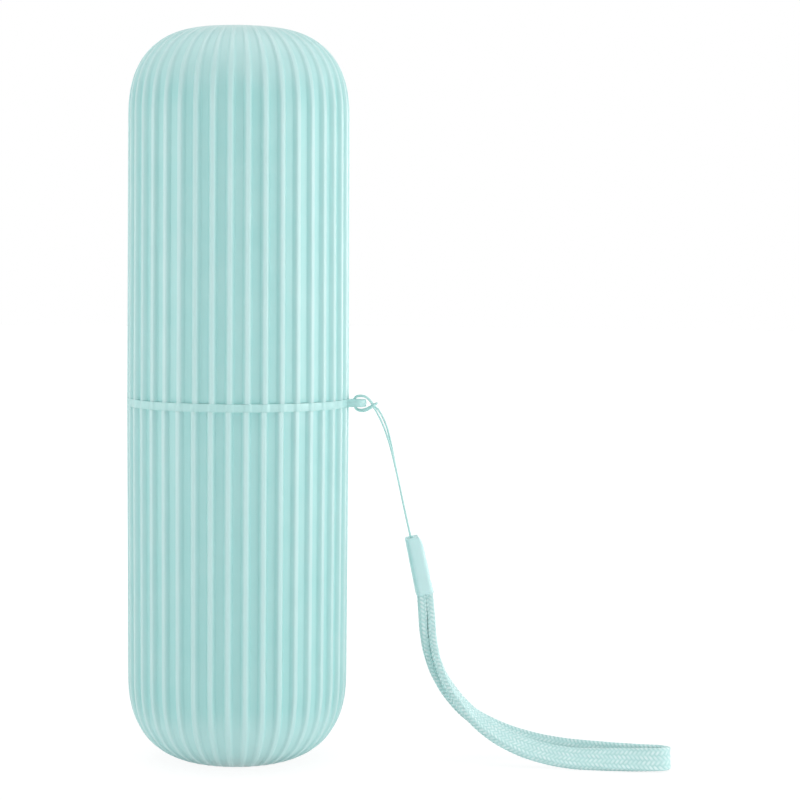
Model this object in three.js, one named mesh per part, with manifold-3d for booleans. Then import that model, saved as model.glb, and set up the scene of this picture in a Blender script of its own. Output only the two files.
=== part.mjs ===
// Travel toothbrush cup: a fluted cup and its fluted cover plug from both sides onto a joining ring,
// whose ear carries a wrist strap. Millimetres, +Z up. The origin is the centre of the cup's flat
// foot, and the strap hangs on the +X side.

import * as THREE from 'three';
import { mergeVertices } from 'three/addons/utils/BufferGeometryUtils.js';
import Module from 'manifold-3d';

const wasm = await Module();
wasm.setup();

// Shells: the cup and the cover, measured over the rib crests
const mouthRadius = 30.8;
const cupLength = 99.0;
const coverLength = 101.6;
const domeHeight = 25.2;
const domeCentreRadius = 6;
const footRadius = 12;
const footEdge = 1;
const shellWall = 1.6;
const floorThickness = 2;
// The radius lost to each unit of height, so that the shell leaves its mould
const draftShare = 0.0038;
// The dome is a superellipse of this power, squarer than a circle
const domePower = 2.5;
const domeSteps = 6;
const boreSides = 60;
// How far the cup is turned in its push fit, in degrees, so that its ribs run on beside the cover's
const cupTurn = 0.6;

// Ribs: one rib's outline as shares of the pitch and of the depth, valley to crest to valley
const ribCount = 40;
const ribDepth = 1.2;
const ribPitchShares = [-0.31, -0.19, 0.19, 0.31];
const ribDepthShares = [1, 0, 0, 1];
// How fast the ribs get shallower towards the pole
const ribFadePower = 0.6;

// Joining ring
const flangeHeight = 2.2;
const flangeFluteDepth = 0.35;
const upperNeckHeight = 10;
const lowerNeckHeight = 8;
const neckWall = 1.5;
const neckLead = 0.6;
const fitGap = 0.25;
const seatGap = 0.2;

// Ear on the ring, with the hole that the string is hitched through. It stands one rib's pitch from +X.
const earReach = 2.55;
const earRimRadius = 2.5;
const earHoleRadius = 1.35;
const earHoleInset = 0.6;
const earTurn = -2 * Math.PI / ribCount;
const earSides = 32;

// String: its route from the sleeve, over and through the ear, and back to the sleeve
const stringDiameter = 0.55;
const stringSides = 8;
const stringSteps = 80;
const stringRoute = [
  [49.12, -2.58, 58.3],
  [48.22, -2.58, 62.4],
  [46.44, -2.93, 70.09],
  [44.99, -3.38, 76.7],
  [43.66, -3.88, 82.77],
  [42.44, -4.38, 88.73],
  [41.03, -4.83, 93.98],
  [39.07, -5.15, 97.98],
  [37.67, -5.52, 99.41],
  [36.89, -5.4, 100.52],
  [36.04, -5.26, 101.48],
  [35.04, -5.1, 102.19],
  [33.83, -4.91, 102.37],
  [32.62, -4.72, 102.13],
  [32.01, -4.63, 101.18],
  [32.08, -4.64, 99.9],
  [32.64, -4.56, 98.81],
  [33.71, -4.43, 98.39],
  [34.86, -4.31, 98.49],
  [36.05, -4.34, 99.0],
  [37.14, -4.57, 99.63],
  [37.97, -5.1, 100.11],
  [38.27, -6.06, 100.31],
  [37.92, -6.92, 100.0],
  [37.05, -7.18, 99.38],
  [35.95, -7.06, 98.62],
  [34.73, -6.72, 98.15],
  [33.56, -6.23, 98.17],
  [32.53, -5.76, 98.66],
  [32.01, -5.51, 99.84],
  [32.05, -5.52, 101.18],
  [32.63, -5.61, 101.99],
  [33.73, -5.79, 102.22],
  [34.91, -5.97, 102.07],
  [35.9, -6.13, 101.39],
  [36.68, -6.26, 100.43],
  [37.24, -6.34, 99.35],
  [38.18, -5.99, 97.97],
  [40.15, -5.67, 93.95],
  [41.99, -5.22, 88.74],
  [43.54, -4.72, 82.79],
  [44.96, -4.22, 76.7],
  [46.44, -3.77, 70.1],
  [48.22, -3.42, 62.4],
  [49.12, -3.42, 58.3],
];

// Sleeve, tilted as it hangs
const sleeveTop = [48.84, -3, 62.7];
const sleeveTilt = 12.15;
const sleeveLength = 16.2;
const sleeveTopSize = [4.6, 7.5];
const sleeveFootSize = [4.95, 7.9];
const sleeveCornerRadius = 1.6;
const sleeveEndRound = 0.6;
const sleeveRoundSteps = 3;
const sleeveCornerSteps = 4;
const webbingSocketDepth = 7.2;
const stringSocketDepth = 5;
// The string goes in beside the middle of the sleeve's top
const stringSocketOffset = -0.65;
const socketGap = 0.2;

// Webbing: each row is a point of its centre line and its turn in degrees. At 0 its width lies level
// along Y, and at 90 it stands on its edge.
const webbingWidth = 6.4;
const webbingThickness = 1.7;
const webbingEdgeRadius = 0.4;
const webbingSteps = 80;
const legGap = 0.3;
const webbingRoute = [
  [51.82, -3.0, 53.62, 0],
  [52.53, -3.0, 50.37, 0],
  [53.25, -3.0, 46.92, 0],
  [53.9, -3.1, 41.01, 0],
  [54.37, -3.5, 35.01, 2],
  [55.44, -4.6, 29.23, 6],
  [57.49, -6.2, 23.84, 11],
  [60.64, -8.0, 18.76, 17],
  [65.07, -9.94, 13.76, 24],
  [70.69, -12.0, 9.44, 31],
  [77.32, -14.01, 6.12, 35],
  [84.64, -15.97, 3.98, 37],
  [92.15, -17.89, 2.98, 40],
  [100.15, -19.98, 3.03, 47],
  [107.65, -21.87, 3.28, 58],
  [113.14, -22.93, 3.48, 70],
  [116.34, -22.78, 3.53, 76],
  [118.04, -20.9, 3.53, 78],
  [116.34, -19.18, 3.53, 76],
  [113.14, -18.43, 3.53, 72],
  [107.14, -16.29, 3.48, 66],
  [100.14, -12.78, 3.38, 60],
  [92.14, -8.89, 3.48, 52],
  [84.63, -5.57, 4.28, 45],
  [77.3, -2.81, 6.08, 38],
  [70.66, -1.2, 8.96, 31],
  [64.78, -0.54, 12.74, 24],
  [59.9, -0.4, 17.33, 17],
  [56.12, -0.8, 22.75, 11],
  [53.55, -1.6, 28.57, 6],
  [52.27, -2.5, 34.79, 2],
  [51.7, -2.9, 40.99, 0],
  [51.27, -3.0, 46.59, 0],
  [50.57, -3.0, 49.95, 0],
  [49.87, -3.0, 53.21, 0],
];

// Cutting tools run past the faces that they cut by this much
const overrun = 1;

// Heights that the pieces share
const ringBase = cupLength + seatGap;
const ringTop = ringBase + flangeHeight;
const coverBase = ringTop + seatGap;
const boreRadius = mouthRadius - ribDepth - shellWall;
const neckRadius = boreRadius - fitGap;
const neckBoreRadius = neckRadius - neckWall;

// Materials
function plastic(color, roughness) {
  return new THREE.MeshStandardMaterial({ color, roughness, metalness: 0 });
}
const shellMaterial = plastic('#b1dedb', 0.45);
const ringMaterial = plastic('#b4e1de', 0.45);
const stringMaterial = plastic('#a6dad4', 0.85);
const sleeveMaterial = plastic('#b8e0de', 0.55);
const webbingMaterial = plastic('#b3dfdc', 0.9);

// Booleans
function toSolid(geometry) {
  const bare = geometry.clone();
  bare.deleteAttribute('normal');
  bare.deleteAttribute('uv');
  const merged = mergeVertices(bare);
  return new wasm.Manifold(new wasm.Mesh({
    numProp: 3,
    vertProperties: new Float32Array(merged.attributes.position.array),
    triVerts: new Uint32Array(merged.index.array),
  }));
}

function toGeometry(solid) {
  const mesh = solid.getMesh();
  const geometry = new THREE.BufferGeometry();
  geometry.setAttribute('position', new THREE.BufferAttribute(mesh.vertProperties, 3));
  geometry.setIndex(new THREE.BufferAttribute(mesh.triVerts, 1));
  geometry.computeVertexNormals();
  return geometry;
}

function mesh(name, geometry, material) {
  const piece = new THREE.Mesh(geometry, material);
  piece.name = name;
  return piece;
}

// Skins a stack of rings that have the same number of points, and closes both ends with a fan
function loft(rings) {
  const count = rings[0].length;
  const points = rings.flat();
  const faces = [];
  for (let i = 0; i + 1 < rings.length; i += 1) {
    for (let j = 0; j < count; j += 1) {
      const next = (j + 1) % count;
      const [a, b] = [i * count + j, i * count + next];
      faces.push(a, b, b + count, a, b + count, a + count);
    }
  }
  const lastStart = points.length - count;
  const centreOf = (ring) => ring.reduce((sum, p) => sum.add(p), new THREE.Vector3()).divideScalar(count);
  points.push(centreOf(rings[0]), centreOf(rings.at(-1)));
  const [firstCentre, lastCentre] = [points.length - 2, points.length - 1];
  for (let j = 0; j < count; j += 1) {
    const next = (j + 1) % count;
    faces.push(firstCentre, next, j);
    faces.push(lastCentre, lastStart + j, lastStart + next);
  }
  const geometry = new THREE.BufferGeometry().setFromPoints(points);
  geometry.setIndex(faces);
  return geometry;
}

// The wall from the mouth at height zero over the shoulder to the closed end, as stations that hold
// a radius, a height and the outward normal
function wallStations(rimRadius, shoulderHeight, endHeight, endRadius) {
  const shoulderRadius = rimRadius - draftShare * shoulderHeight;
  const reach = shoulderRadius - domeCentreRadius;
  const endCos = ((endRadius - domeCentreRadius) / reach) ** (domePower / 2);
  const endAngle = Math.acos(endCos);
  const rise = (endHeight - shoulderHeight) / Math.sin(endAngle) ** (2 / domePower);
  const stations = [{ r: rimRadius, z: 0, nr: 1, nz: 0 }];
  for (let k = 0; k <= domeSteps; k += 1) {
    const angle = endAngle * k / domeSteps;
    const across = Math.cos(angle) ** (2 / domePower);
    const up = Math.sin(angle) ** (2 / domePower);
    const normal = new THREE.Vector2(across ** (domePower - 1) / reach, up ** (domePower - 1) / rise);
    normal.normalize();
    stations.push({
      r: domeCentreRadius + reach * across,
      z: k === domeSteps ? endHeight : shoulderHeight + rise * up,
      nr: normal.x,
      nz: normal.y,
    });
  }
  return stations;
}

// One ring of points round the ribs, sunk along the wall's normal in the flutes. A valley lies on
// +X, so that the ear stands between two ribs.
function ribRing(station, depth) {
  const pitch = 2 * Math.PI / ribCount;
  const ring = [];
  for (let rib = 0; rib < ribCount; rib += 1) {
    ribPitchShares.forEach((pitchShare, k) => {
      const angle = (rib + 0.5 + pitchShare) * pitch;
      const sink = depth * ribDepthShares[k];
      const radius = station.r - sink * station.nr;
      ring.push(new THREE.Vector3(
        radius * Math.cos(angle),
        radius * Math.sin(angle),
        station.z - sink * station.nz,
      ));
    });
  }
  return ring;
}

// A shell stands on its mouth at height zero, with its round end up
function shellGeometry(length) {
  const shoulder = length - domeHeight;
  const outside = wallStations(mouthRadius, shoulder, length, footRadius);
  const rings = outside.map((station) => (
    ribRing(station, ribDepth * (station.r / mouthRadius) ** ribFadePower)
  ));
  rings.push(ribRing({ r: footRadius - footEdge, z: length, nr: 0, nz: 1 }, 0));
  const body = toSolid(loft(rings));

  const inside = wallStations(boreRadius, shoulder, length - floorThickness, footRadius);
  const profile = [
    new THREE.Vector2(0, -overrun),
    new THREE.Vector2(boreRadius, -overrun),
    ...inside.slice(1).map((station) => new THREE.Vector2(station.r, station.z)),
    new THREE.Vector2(0, length - floorThickness),
  ];
  const cavity = new THREE.LatheGeometry(profile, boreSides);
  cavity.rotateX(Math.PI / 2);
  return toGeometry(body.subtract(toSolid(cavity)));
}

// A circle, or a circular stretch, of points in the plane
function arcPoints(x, y, radius, start, end, steps) {
  const points = [];
  for (let k = 0; k <= steps; k += 1) {
    const angle = start + (end - start) * k / steps;
    points.push(new THREE.Vector2(x + radius * Math.cos(angle), y + radius * Math.sin(angle)));
  }
  return points;
}

// The ring stands with its flange's lower face at height zero
function ringGeometry() {
  const outline = ribRing({ r: mouthRadius, z: 0, nr: 1, nz: 0 }, flangeFluteDepth);
  const flangeShape = new THREE.Shape(outline.map((p) => new THREE.Vector2(p.x, p.y)));
  const flange = new THREE.ExtrudeGeometry(flangeShape, { depth: flangeHeight, bevelEnabled: false });

  const earCentre = mouthRadius + earReach;
  const earShape = new THREE.Shape([
    new THREE.Vector2(neckRadius, -earRimRadius),
    ...arcPoints(earCentre, 0, earRimRadius, -Math.PI / 2, Math.PI / 2, earSides / 2),
    new THREE.Vector2(neckRadius, earRimRadius),
  ]);
  const ear = new THREE.ExtrudeGeometry(earShape, { depth: flangeHeight, bevelEnabled: false });
  ear.rotateZ(earTurn);

  const neckTop = flangeHeight + upperNeckHeight;
  const neckProfile = [
    new THREE.Vector2(0, -lowerNeckHeight),
    new THREE.Vector2(neckRadius - neckLead, -lowerNeckHeight),
    new THREE.Vector2(neckRadius, neckLead * 2 - lowerNeckHeight),
    new THREE.Vector2(neckRadius, neckTop - neckLead * 2),
    new THREE.Vector2(neckRadius - neckLead, neckTop),
    new THREE.Vector2(0, neckTop),
  ];
  const necks = new THREE.LatheGeometry(neckProfile, boreSides);
  necks.rotateX(Math.PI / 2);

  const boreHeight = neckTop + lowerNeckHeight + 2 * overrun;
  const bore = new THREE.CylinderGeometry(neckBoreRadius, neckBoreRadius, boreHeight, boreSides);
  bore.rotateX(Math.PI / 2);
  bore.translate(0, 0, boreHeight / 2 - lowerNeckHeight - overrun);

  const holeHeight = flangeHeight + 2 * overrun;
  const hole = new THREE.CylinderGeometry(earHoleRadius, earHoleRadius, holeHeight, earSides);
  hole.rotateX(Math.PI / 2);
  hole.translate(earCentre - earHoleInset, 0, flangeHeight / 2);
  hole.rotateZ(earTurn);

  const solid = toSolid(flange).add(toSolid(ear)).add(toSolid(necks));
  return toGeometry(solid.subtract(toSolid(bore)).subtract(toSolid(hole)));
}

// A route that steps evenly from one chosen point to the next, so that tight bends get short steps
class ChosenRoute extends THREE.CatmullRomCurve3 {
  constructor(rows) {
    super(rows.map(([x, y, z]) => new THREE.Vector3(x, y, z)), false, 'catmullrom');
  }

  getPointAt(share, target) {
    return this.getPoint(share, target);
  }

  getTangentAt(share, target) {
    return this.getTangent(share, target);
  }
}

// A route for a flat strap: the turn of each row sets which way the strap's width points
class RibbonRoute extends ChosenRoute {
  constructor(rows) {
    super(rows);
    const turns = rows.map((row) => new THREE.Vector3(THREE.MathUtils.degToRad(row[3]), 0, 0));
    this.turnCurve = new THREE.CatmullRomCurve3(turns, false, 'catmullrom');
  }

  computeFrenetFrames(segments) {
    const frames = { tangents: [], normals: [], binormals: [] };
    for (let k = 0; k <= segments; k += 1) {
      const tangent = this.getTangent(k / segments).normalize();
      const turn = this.turnCurve.getPoint(k / segments).x;
      const across = new THREE.Vector3(0, Math.cos(turn), Math.sin(turn));
      across.addScaledVector(tangent, -across.dot(tangent)).normalize();
      frames.tangents.push(tangent);
      frames.normals.push(new THREE.Vector3().crossVectors(across, tangent));
      frames.binormals.push(across);
    }
    return frames;
  }
}

function sweep(section, route, steps) {
  const shape = new THREE.Shape(section);
  return new THREE.ExtrudeGeometry(shape, { steps, extrudePath: route, bevelEnabled: false });
}

function stringGeometry() {
  const turn = 2 * Math.PI / stringSides;
  const section = arcPoints(0, 0, stringDiameter / 2, 0, 2 * Math.PI - turn, stringSides - 1);
  return sweep(section, new ChosenRoute(stringRoute), stringSteps);
}

function webbingGeometry() {
  const [x, y] = [webbingThickness / 2, webbingWidth / 2];
  const edge = webbingEdgeRadius;
  const section = [
    new THREE.Vector2(x, edge - y),
    new THREE.Vector2(x, y - edge),
    new THREE.Vector2(x - edge, y),
    new THREE.Vector2(edge - x, y),
    new THREE.Vector2(-x, y - edge),
    new THREE.Vector2(-x, edge - y),
    new THREE.Vector2(edge - x, -y),
    new THREE.Vector2(x - edge, -y),
  ];
  return sweep(section, new RibbonRoute(webbingRoute), webbingSteps);
}

// A rounded rectangle of points at a height, drawn in on all sides by an inset
function sleeveRing([thickness, width], height, inset) {
  const radius = sleeveCornerRadius - inset;
  const x = thickness / 2 - sleeveCornerRadius;
  const y = width / 2 - sleeveCornerRadius;
  const corners = [[x, y], [-x, y], [-x, -y], [x, -y]];
  return corners.flatMap(([cx, cy], k) => {
    const start = k * Math.PI / 2;
    const arc = arcPoints(cx, cy, radius, start, start + Math.PI / 2, sleeveCornerSteps);
    return arc.map((p) => new THREE.Vector3(p.x, p.y, height));
  });
}

// The sleeve hangs from height zero, with the string's end at the top
function sleeveGeometry() {
  const sizeAt = (height) => sleeveTopSize.map((size, k) => (
    THREE.MathUtils.lerp(size, sleeveFootSize[k], -height / sleeveLength)
  ));
  const rings = [];
  const roundEnd = (endHeight, inwards, order) => {
    for (const k of order) {
      const angle = (Math.PI / 2) * k / sleeveRoundSteps;
      const height = endHeight + inwards * sleeveEndRound * (1 - Math.cos(angle));
      rings.push(sleeveRing(sizeAt(height), height, sleeveEndRound * (1 - Math.sin(angle))));
    }
  };
  const outwardOrder = Array.from({ length: sleeveRoundSteps + 1 }, (_, k) => k);
  roundEnd(-sleeveLength, 1, outwardOrder);
  roundEnd(0, -1, outwardOrder.toReversed());
  const body = toSolid(loft(rings));

  const slotThickness = 2 * webbingThickness + legGap + 2 * socketGap;
  const slotWidth = webbingWidth + 2 * socketGap;
  const slotDepth = webbingSocketDepth + overrun;
  const slot = new THREE.BoxGeometry(slotThickness, slotWidth, slotDepth);
  slot.translate(0, 0, webbingSocketDepth - sleeveLength - slotDepth / 2);
  let solid = body.subtract(toSolid(slot));

  for (const side of [stringRoute[0], stringRoute.at(-1)]) {
    const radius = stringDiameter / 2 + socketGap;
    const depth = stringSocketDepth + overrun;
    const socket = new THREE.CylinderGeometry(radius, radius, depth, stringSides * 2);
    socket.rotateX(Math.PI / 2);
    socket.translate(stringSocketOffset, side[1] - sleeveTop[1], depth / 2 - stringSocketDepth);
    solid = solid.subtract(toSolid(socket));
  }
  return toGeometry(solid);
}

// Assembly
const cup = new THREE.Group();
const lowerCup = mesh('lower_cup', shellGeometry(cupLength), shellMaterial);
lowerCup.rotation.set(Math.PI, 0, THREE.MathUtils.degToRad(cupTurn));
lowerCup.position.z = cupLength;
cup.add(lowerCup);

const cover = new THREE.Group();
cover.position.z = coverBase;
cover.add(mesh('upper_cover', shellGeometry(coverLength), shellMaterial));

const ring = new THREE.Group();
const joiningRing = mesh('joining_ring', ringGeometry(), ringMaterial);
joiningRing.position.z = ringBase;
ring.add(joiningRing);

const strap = new THREE.Group();
const sleeve = mesh('strap_sleeve', sleeveGeometry(), sleeveMaterial);
sleeve.position.fromArray(sleeveTop);
sleeve.rotation.y = -THREE.MathUtils.degToRad(sleeveTilt);
strap.add(mesh('strap_string', stringGeometry(), stringMaterial));
strap.add(sleeve);
strap.add(mesh('wrist_webbing', webbingGeometry(), webbingMaterial));

const group = new THREE.Group();
group.add(cup, ring, strap, cover);

export default group;
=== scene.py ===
"""Looks of a travel toothbrush cup: two fluted shells, the ring that joins them and a wrist strap.

Everything is in metres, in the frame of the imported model: +Z up, the cup's foot on the floor at the
origin, and the strap on the +X side.
"""

from __future__ import annotations

import bisect
import logging
import math
from collections.abc import Callable, Sequence
from dataclasses import dataclass
from enum import Enum

import bmesh
import bpy
from mathutils import Matrix, Vector

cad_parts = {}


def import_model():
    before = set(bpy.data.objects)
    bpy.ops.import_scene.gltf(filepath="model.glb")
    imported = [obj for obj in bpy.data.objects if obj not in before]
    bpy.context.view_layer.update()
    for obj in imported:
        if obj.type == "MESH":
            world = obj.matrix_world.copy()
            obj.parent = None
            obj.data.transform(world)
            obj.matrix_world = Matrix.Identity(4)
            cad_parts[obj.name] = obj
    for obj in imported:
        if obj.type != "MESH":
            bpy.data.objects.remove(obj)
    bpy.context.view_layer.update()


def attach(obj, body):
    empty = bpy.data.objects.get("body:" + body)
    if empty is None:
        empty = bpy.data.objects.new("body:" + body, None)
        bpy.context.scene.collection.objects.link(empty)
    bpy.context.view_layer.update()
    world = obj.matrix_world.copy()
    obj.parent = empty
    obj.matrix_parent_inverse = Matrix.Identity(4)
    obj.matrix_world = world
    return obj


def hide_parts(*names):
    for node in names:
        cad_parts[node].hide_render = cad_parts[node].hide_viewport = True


LOG = logging.getLogger("toothbrush_cup")

MM = 0.001
# Points nearer than this are one point
MERGE_DISTANCE = 0.0005 * MM
# Edges sharper than this many degrees stay sharp: on moulded pieces, and on cords
MOULDED_CREASE = 35.0
CORD_CREASE = 80.0
# Values on the meshes' points that the materials read: how deep a flute is, in metres, and how high
# a yarn stands, from 0 to 1. By them the materials paint shade and highlight.
FLUTE_LAYER = "flute_depth"
CROWN_LAYER = "yarn_crown"

Row = tuple[float, ...]

# The string's route from the sleeve, over and through the ear, and back to the sleeve
STRING_ROUTE: tuple[Row, ...] = (
    (0.04912, -0.00258, 0.05830),
    (0.04822, -0.00258, 0.06240),
    (0.04644, -0.00293, 0.07009),
    (0.04499, -0.00338, 0.07670),
    (0.04366, -0.00388, 0.08277),
    (0.04244, -0.00438, 0.08873),
    (0.04103, -0.00483, 0.09398),
    (0.03907, -0.00515, 0.09798),
    (0.03767, -0.00552, 0.09941),
    (0.03689, -0.00540, 0.10052),
    (0.03604, -0.00526, 0.10148),
    (0.03504, -0.00510, 0.10219),
    (0.03383, -0.00491, 0.10237),
    (0.03262, -0.00472, 0.10213),
    (0.03201, -0.00463, 0.10118),
    (0.03208, -0.00464, 0.09990),
    (0.03264, -0.00456, 0.09881),
    (0.03371, -0.00443, 0.09839),
    (0.03486, -0.00431, 0.09849),
    (0.03605, -0.00434, 0.09900),
    (0.03714, -0.00457, 0.09963),
    (0.03797, -0.00510, 0.10011),
    (0.03827, -0.00606, 0.10031),
    (0.03792, -0.00692, 0.10000),
    (0.03705, -0.00718, 0.09938),
    (0.03595, -0.00706, 0.09862),
    (0.03473, -0.00672, 0.09815),
    (0.03356, -0.00623, 0.09817),
    (0.03253, -0.00576, 0.09866),
    (0.03201, -0.00551, 0.09984),
    (0.03205, -0.00552, 0.10118),
    (0.03263, -0.00561, 0.10199),
    (0.03373, -0.00579, 0.10222),
    (0.03491, -0.00597, 0.10207),
    (0.03590, -0.00613, 0.10139),
    (0.03668, -0.00626, 0.10043),
    (0.03724, -0.00634, 0.09935),
    (0.03818, -0.00599, 0.09797),
    (0.04015, -0.00567, 0.09395),
    (0.04199, -0.00522, 0.08874),
    (0.04354, -0.00472, 0.08279),
    (0.04496, -0.00422, 0.07670),
    (0.04644, -0.00377, 0.07010),
    (0.04822, -0.00342, 0.06240),
    (0.04912, -0.00342, 0.05830),
)

# The webbing's route: each row is a point of its centre line and its turn in degrees. At 0 its width
# lies level along Y, and at 90 it stands on its edge.
WEBBING_ROUTE: tuple[Row, ...] = (
    (0.05182, -0.00300, 0.05362, 0),
    (0.05253, -0.00300, 0.05037, 0),
    (0.05325, -0.00300, 0.04692, 0),
    (0.05390, -0.00310, 0.04101, 0),
    (0.05437, -0.00350, 0.03501, 2),
    (0.05544, -0.00460, 0.02923, 6),
    (0.05749, -0.00620, 0.02384, 11),
    (0.06064, -0.00800, 0.01876, 17),
    (0.06507, -0.00994, 0.01376, 24),
    (0.07069, -0.01200, 0.00944, 31),
    (0.07732, -0.01401, 0.00612, 35),
    (0.08464, -0.01597, 0.00398, 37),
    (0.09215, -0.01789, 0.00298, 40),
    (0.10015, -0.01998, 0.00303, 47),
    (0.10765, -0.02187, 0.00328, 58),
    (0.11314, -0.02293, 0.00348, 70),
    (0.11634, -0.02278, 0.00353, 76),
    (0.11804, -0.02090, 0.00353, 78),
    (0.11634, -0.01918, 0.00353, 76),
    (0.11314, -0.01843, 0.00353, 72),
    (0.10714, -0.01629, 0.00348, 66),
    (0.10014, -0.01278, 0.00338, 60),
    (0.09214, -0.00889, 0.00348, 52),
    (0.08463, -0.00557, 0.00428, 45),
    (0.07730, -0.00281, 0.00608, 38),
    (0.07066, -0.00120, 0.00896, 31),
    (0.06478, -0.00054, 0.01274, 24),
    (0.05990, -0.00040, 0.01733, 17),
    (0.05612, -0.00080, 0.02275, 11),
    (0.05355, -0.00160, 0.02857, 6),
    (0.05227, -0.00250, 0.03479, 2),
    (0.05170, -0.00290, 0.04099, 0),
    (0.05127, -0.00300, 0.04659, 0),
    (0.05057, -0.00300, 0.04995, 0),
    (0.04987, -0.00300, 0.05321, 0),
)


def linear_colour(hex_code: str) -> tuple[float, float, float, float]:
    """Turns an sRGB hex colour into Blender's linear one.

    Args:
        hex_code: Six hex digits after a hash sign.

    Returns:
        Linear red, green and blue, and an alpha of 1.
    """
    shares = [int(hex_code[k:k + 2], 16) / 255 for k in (1, 3, 5)]
    # The sRGB standard's curve
    red, green, blue = (s / 12.92 if s <= 0.04045 else ((s + 0.055) / 1.055) ** 2.4 for s in shares)
    return red, green, blue, 1.0


def smooth_share(value: float, low: float, high: float) -> float:
    """Rises smoothly from 0 at low to 1 at high.

    Args:
        value: Where it is read.
        low: Where the rise starts.
        high: Where the rise ends.

    Returns:
        A share from 0 to 1.
    """
    share = min(max((value - low) / (high - low), 0.0), 1.0)
    return share * share * (3 - 2 * share)


def add_node(
    tree: bpy.types.NodeTree,
    kind: str,
    settings: dict[str | int, object] | None = None,
    links: dict[str | int, bpy.types.NodeSocket] | None = None,
) -> bpy.types.Node:
    """Adds a node to a material or world, with its settings and its links.

    Args:
        tree: The node tree.
        kind: The node's type.
        settings: Values by property name, by socket name or by socket number.
        links: Sockets that feed this node's inputs, by name or number.

    Returns:
        The new node.
    """
    node = tree.nodes.new(kind)
    for key, value in (settings or {}).items():
        if isinstance(key, str) and key in node.bl_rna.properties:
            setattr(node, key, value)
        else:
            node.inputs[key].default_value = value
    for key, socket in (links or {}).items():
        tree.links.new(socket, node.inputs[key])
    return node


def new_material(name: str) -> tuple[bpy.types.Material, bpy.types.NodeTree]:
    """Starts a material with an empty node tree.

    Args:
        name: The material's name.

    Returns:
        The material and its tree.
    """
    material = bpy.data.materials.new(name)
    material.use_nodes = True
    material.node_tree.nodes.clear()
    return material, material.node_tree


@dataclass(frozen=True)
class MouldedPlastic:
    """Injection-moulded plastic with a satin skin, for the shells, the ring and the sleeve.

    A spark-eroded mould leaves a fine even grain, which spreads the highlights. The thin wall lets a
    little light through. The colour is painted from the flute's depth: darker down in a flute, as
    painted shade, and paler on a crest, as a painted highlight.
    """

    name: str
    # The crest's colour is paler, a painted highlight, and the flute's is darker, painted shade
    crest_highlight_colour: str
    flute_shade_colour: str
    # The depth of flute at which the colour is all the flute's painted shade
    full_depth: float = 1.2 * MM
    # How much the slow waves of the melt's flow lift the crest's colour towards white
    flow_share: float = 0.05
    roughness: float = 0.36
    roughness_swing: float = 0.03
    ior: float = 1.49
    light_depth: float = 0.4 * MM
    light_share: float = 0.10
    # How far red, green and blue light travel in the wall, as shares of light_depth
    light_reach: Row = (0.8, 1.0, 1.0)
    # The real grain is about 0.03 mm and would not show, so it is drawn at this size
    grain_size: float = 0.35 * MM
    grain_height: float = 0.0015 * MM
    # Slow waves of the skin, as the wall shrinks off the steel
    sink_size: float = 9 * MM
    sink_height: float = 0.01 * MM
    # Both patterns run between these values of the noise
    noise_span: tuple[float, float] = (0.3, 0.7)

    def make(self) -> bpy.types.Material:
        """Builds the material.

        Returns:
            The material.
        """
        material, tree = new_material(self.name)
        place = add_node(tree, "ShaderNodeTexCoord").outputs["Object"]
        flute = add_node(tree, "ShaderNodeAttribute", {"attribute_name": FLUTE_LAYER})
        low, high = self.noise_span
        sink = add_node(
            tree, "ShaderNodeTexNoise",
            {"Scale": 1 / self.sink_size, "Detail": 2.0, "Roughness": 0.45}, {"Vector": place},
        )
        grain = add_node(
            tree, "ShaderNodeTexNoise",
            {"Scale": 1 / self.grain_size, "Detail": 1.5, "Roughness": 0.6}, {"Vector": place},
        )
        # Painted shade and highlight: the colour runs from the crest's to the flute's with the flute's
        # depth
        depth = add_node(
            tree, "ShaderNodeMapRange", {"From Min": 0.0, "From Max": self.full_depth},
            {"Value": flute.outputs["Fac"]},
        )
        painted_light_tint = add_node(
            tree, "ShaderNodeMix",
            {
                "data_type": "RGBA",
                6: linear_colour(self.crest_highlight_colour), 7: linear_colour(self.flute_shade_colour),
            },
            {0: depth.outputs["Result"]},
        )
        flow = add_node(
            tree, "ShaderNodeMapRange",
            {"From Min": low, "From Max": high, "To Min": 0.0, "To Max": self.flow_share},
            {"Value": sink.outputs["Fac"]},
        )
        melt = add_node(
            tree, "ShaderNodeMix", {"data_type": "RGBA", 7: (1.0, 1.0, 1.0, 1.0)},
            {0: flow.outputs["Result"], 6: painted_light_tint.outputs[2]},
        )
        gloss = add_node(
            tree, "ShaderNodeMapRange",
            {
                "From Min": low, "From Max": high,
                "To Min": self.roughness - self.roughness_swing,
                "To Max": self.roughness + self.roughness_swing,
            },
            {"Value": grain.outputs["Fac"]},
        )
        waves = add_node(
            tree, "ShaderNodeBump", {"Strength": 1.0, "Distance": self.sink_height},
            {"Height": sink.outputs["Fac"]},
        )
        skin = add_node(
            tree, "ShaderNodeBump", {"Strength": 1.0, "Distance": self.grain_height},
            {"Height": grain.outputs["Fac"], "Normal": waves.outputs["Normal"]},
        )
        shader = add_node(
            tree, "ShaderNodeBsdfPrincipled",
            {
                "IOR": self.ior,
                "Subsurface Weight": self.light_share,
                "Subsurface Radius": self.light_reach,
                "Subsurface Scale": self.light_depth,
            },
            {
                "Base Color": melt.outputs[2],
                "Roughness": gloss.outputs["Result"],
                "Normal": skin.outputs["Normal"],
            },
        )
        add_node(tree, "ShaderNodeOutputMaterial", links={"Surface": shader.outputs["BSDF"]})
        return material


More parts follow.
